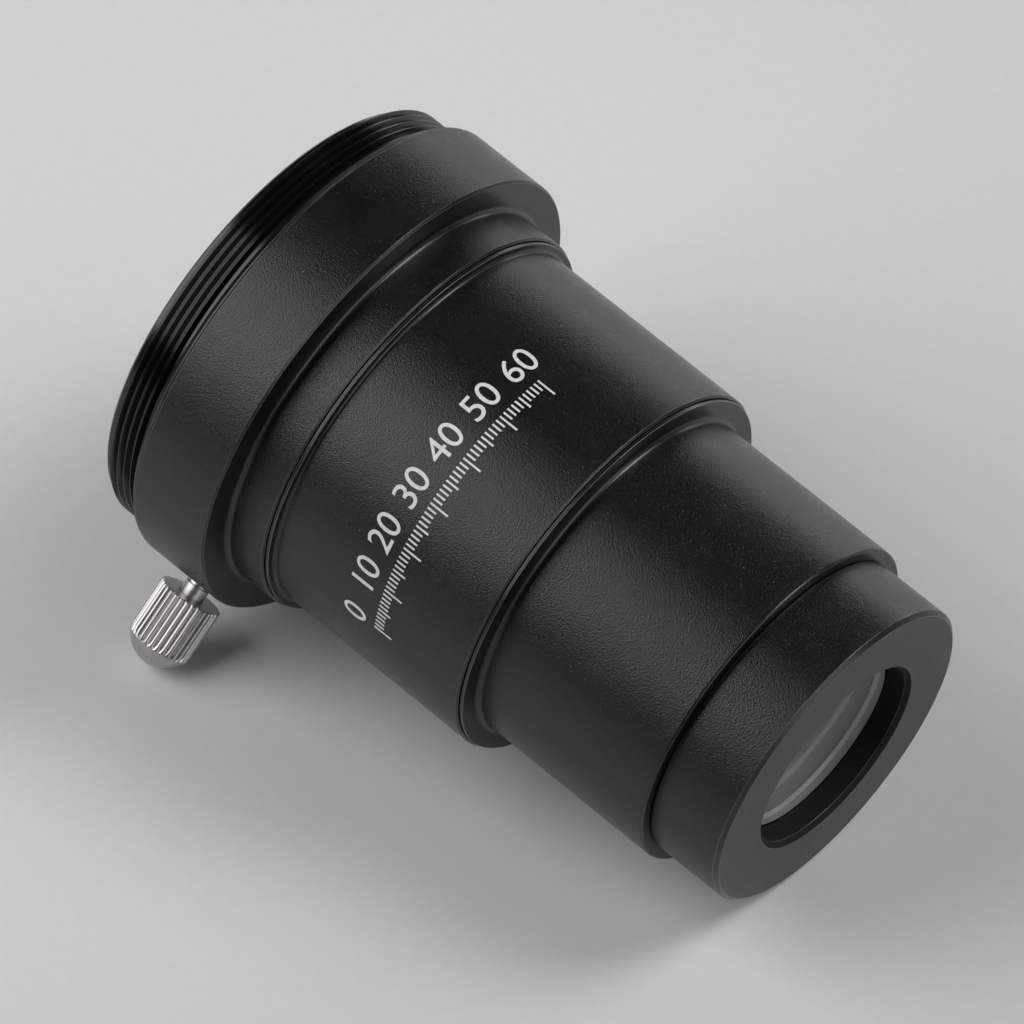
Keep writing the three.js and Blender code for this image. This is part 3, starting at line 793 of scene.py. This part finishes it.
def tickTree():
    # one bar per tick, longer at every fifth and tenth
    tree, size = startTree("scaleTicks", {
        "Ticks": 61, "Radius": 18.0, "Thickness": 0.02, "Start Angle": 0.0, "Step Angle": 0.02,
        "Top": 28.0, "Length": 1.9, "Width": 0.17})
    points = addNode(tree, "GeometryNodePoints", {"Count": size["Ticks"]})
    tick = addNode(tree, "GeometryNodeInputIndex")
    share = 0.5
    for every, extra in ((10.0, 0.3), (5.0, 0.2)):
        over = addNode(tree, "ShaderNodeMath", {0: tick, 1: every}, operation="MODULO")
        marked = addNode(tree, "ShaderNodeMath", {0: over, 1: 0.5}, operation="LESS_THAN")
        share = addNode(tree, "ShaderNodeMath", {
            0: marked, 1: extra, 2: share}, operation="MULTIPLY_ADD")
    solid = addNode(tree, "ShaderNodeCombineXYZ", {
        0: size["Thickness"], 1: size["Width"], 2: size["Length"]})
    bar = addNode(tree, "GeometryNodeMeshCube", {"Size": solid})
    half = addNode(tree, "ShaderNodeMath", {0: size["Length"], 1: 0.5}, operation="MULTIPLY")
    onTube = addNode(tree, "ShaderNodeCombineXYZ", {0: size["Radius"], 2: half})
    placed = addNode(tree, "GeometryNodeTransform", {0: bar, 1: onTube})
    angle = addNode(tree, "ShaderNodeMath", {
        0: tick, 1: size["Step Angle"], 2: size["Start Angle"]}, operation="MULTIPLY_ADD")
    turn = addNode(tree, "ShaderNodeCombineXYZ", {2: angle})
    stretch = addNode(tree, "ShaderNodeCombineXYZ", {0: 1.0, 1: 1.0, 2: share})
    spread = addNode(tree, "GeometryNodeInstanceOnPoints", {
        "Points": points, "Instance": placed, "Rotation": turn, "Scale": stretch})
    top = addNode(tree, "ShaderNodeCombineXYZ", {2: size["Top"]})
    moved = addNode(tree, "GeometryNodeTransform", {0: spread, 1: top})
    endTree(tree, moved, size["Finish"])
    return tree


def figure(text, angle):
    # a number wrapped onto the tube, its foot towards the lens end
    curve = bpy.data.curves.new("figure" + text, "FONT")
    curve.body = text
    curve.size = scale["figureHeight"] / scale["figureShare"]
    curve.align_x = "CENTER"
    curve.extrude = scale["inkThickness"] / 2
    drawn = bpy.data.objects.new("figure" + text, curve)
    bpy.context.scene.collection.objects.link(drawn)
    bpy.context.view_layer.update()
    evaluated = drawn.evaluated_get(bpy.context.evaluated_depsgraph_get())
    mesh = bpy.data.meshes.new_from_object(evaluated)
    bpy.data.objects.remove(drawn)
    build = bmesh.new()
    build.from_mesh(mesh)
    bmesh.ops.remove_doubles(build, verts=build.verts, dist=weldGap)
    for vertex in build.verts:
        x, y, z = vertex.co
        radius = inkRadius + z
        turn = -(math.radians(angle) + x / scale["tubeRadius"])
        vertex.co = (radius * math.cos(turn), radius * math.sin(turn), scale["figureBase"] - y)
    bmesh.ops.recalc_face_normals(build, faces=build.faces)
    made = finishPiece("figure" + text, build, [ink], tubePlace)
    for face in made.data.polygons:
        face.use_smooth = False
    return made


stepAngle = (scale["endAngle"] - scale["startAngle"]) / (scale["figures"] - 1)
tickCount = (scale["figures"] - 1) * scale["ticksPerFigure"] + 1
printed = growTree("printed_scale", tickTree(), {
    "Ticks": tickCount, "Radius": inkRadius, "Thickness": scale["inkThickness"],
    "Start Angle": -math.radians(scale["startAngle"]),
    "Step Angle": -math.radians(stepAngle / scale["ticksPerFigure"]),
    "Top": scale["tickTop"], "Length": scale["tickLong"], "Width": scale["tickWidth"]}, ink)
printed.data.transform(tubePlace)
for index in range(scale["figures"]):
    addShells(printed, figure(str(index * scale["figureStep"]),
                              scale["startAngle"] + index * stepAngle))
print("print made")

# What each piece rides on, its kind of finish, and the CAD pieces that it stands for.
rides = [
    (ring, "barlow_tube", "black_anodised", ["t_thread_ring"]),
    (holder, "barlow_tube", "black_anodised", ["eyepiece_holder"]),
    (clamp, "barlow_tube", "brass", ["compression_ring"]),
    (body, "barlow_tube", "black_anodised", ["main_tube"]),
    (barrel, "barlow_tube", "black_anodised", ["nosepiece"]),
    (stop, "barlow_tube", "matt_black", ["baffle_ring"]),
    (printed, "barlow_tube", "white_ink", []),
    (lensCell, "lens_cell", "black_anodised", ["lens_cell"]),
    (keeperRing, "lens_cell", "matt_black", ["lens_retaining_ring"]),
    (frontGlass, "lens_glass", "glass", ["front_lens_element"]),
    (rearGlass, "lens_glass", "glass", ["rear_lens_element"]),
    (screwStud, "thumbscrew_stud", "bright_nickel", ["thumbscrew_stud"]),
    (screwKnob, "thumbscrew_knob", "bright_nickel", ["thumbscrew_knob"]),
]
for piece, rideOn, slotName, nodes in rides:
    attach(piece, rideOn)
    if nodes:
        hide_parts(*nodes)
print("pieces riding:", len(rides))

stageLook = {
    "cardLow": "#d6d6d7", "cardHigh": "#dcdcdd", "cardSize": 6.0,
    "roomLight": 0.05, "roomColour": "#dfe4ee",
    # each light: where it hangs, the way its face is turned, width, height, radiance
    "softbox": {"at": (-0.32, -0.22, 0.27), "facing": (0, 0.66, -0.75), "wide": 0.52, "high": 0.36,
                "shine": 2.9},
    "backPanel": {"at": (-0.51, 1.41, 0.19), "facing": (0.34, -0.94, 0), "wide": 2.6, "high": 0.44,
                  "shine": 2.0},
    "topPanel": {"at": (0.20, 0.27, 0.38), "facing": (-0.23, -0.22, -0.38), "wide": 0.28,
                 "high": 0.28, "shine": 0.6, "spread": 45},
    "endPanel": {"at": (0.70, -0.04, 0.22), "facing": (-1, 0, -0.22), "wide": 0.9, "high": 0.40,
                 "shine": 1.6},
}


def paperSweep():
    # plain pale card with hardly any texture
    material, tree, shader = startMaterial(
        "paleCard", {"Roughness": 0.9, "IOR": 1.4, "Specular IOR Level": 0.2})
    coordinates = addNode(tree, "ShaderNodeTexCoord")
    fibre = addNode(tree, "ShaderNodeTexNoise", {
        "Vector": coordinates.outputs["Object"], "Scale": 900.0, "Detail": 3.0})
    colour = addNode(tree, "ShaderNodeMix", {
        0: fibre, 6: linear(stageLook["cardLow"]), 7: linear(stageLook["cardHigh"])},
        data_type="RGBA")
    connect(tree, shader, {"Base Color": colour})
    return material


build = bmesh.new()
bmesh.ops.create_grid(build, x_segments=8, y_segments=8, size=stageLook["cardSize"] / 2)
card = finishPiece("paleFloor", build, [paperSweep()], Matrix.Identity(4))


def panelLight(name, look):
    light = bpy.data.lights.new(name, "AREA")
    light.shape = "RECTANGLE"
    light.size = look["wide"]
    light.size_y = look["high"]
    light.energy = math.pi * look["shine"] * look["wide"] * look["high"]
    light.spread = math.radians(look.get("spread", 180))
    made = bpy.data.objects.new(name, light)
    bpy.context.scene.collection.objects.link(made)
    made.location = look["at"]
    made.rotation_mode = "QUATERNION"
    made.rotation_quaternion = Vector(look["facing"]).to_track_quat("-Z", "Y")


for name in ("softbox", "backPanel", "topPanel", "endPanel"):
    panelLight(name, stageLook[name])

world = bpy.data.worlds.new("room")
world.use_nodes = True
room = world.node_tree.nodes["Background"]
room.inputs["Color"].default_value = linear(stageLook["roomColour"])
room.inputs["Strength"].default_value = stageLook["roomLight"]
bpy.context.scene.world = world

cameraLook = {
    "place": (0.36274, -0.40585, 0.62573), "aim": (-0.0028, -0.0010, 0.0201),
    "lens": 345.5, "sensor": 36.0, "nearest": 0.01, "farthest": 20.0,
}
camera = bpy.data.objects.new("camera", bpy.data.cameras.new("camera"))
bpy.context.scene.collection.objects.link(camera)
camera.data.lens = cameraLook["lens"]
camera.data.sensor_width = cameraLook["sensor"]
camera.location = cameraLook["place"]
camera.rotation_mode = "QUATERNION"
camera.rotation_quaternion = (Vector(cameraLook["aim"]) - camera.location).to_track_quat("-Z", "Y")
camera.data.clip_start, camera.data.clip_end = cameraLook["nearest"], cameraLook["farthest"]
bpy.context.scene.camera = camera
bpy.context.scene.view_settings.view_transform = "Standard"
print("stage set")
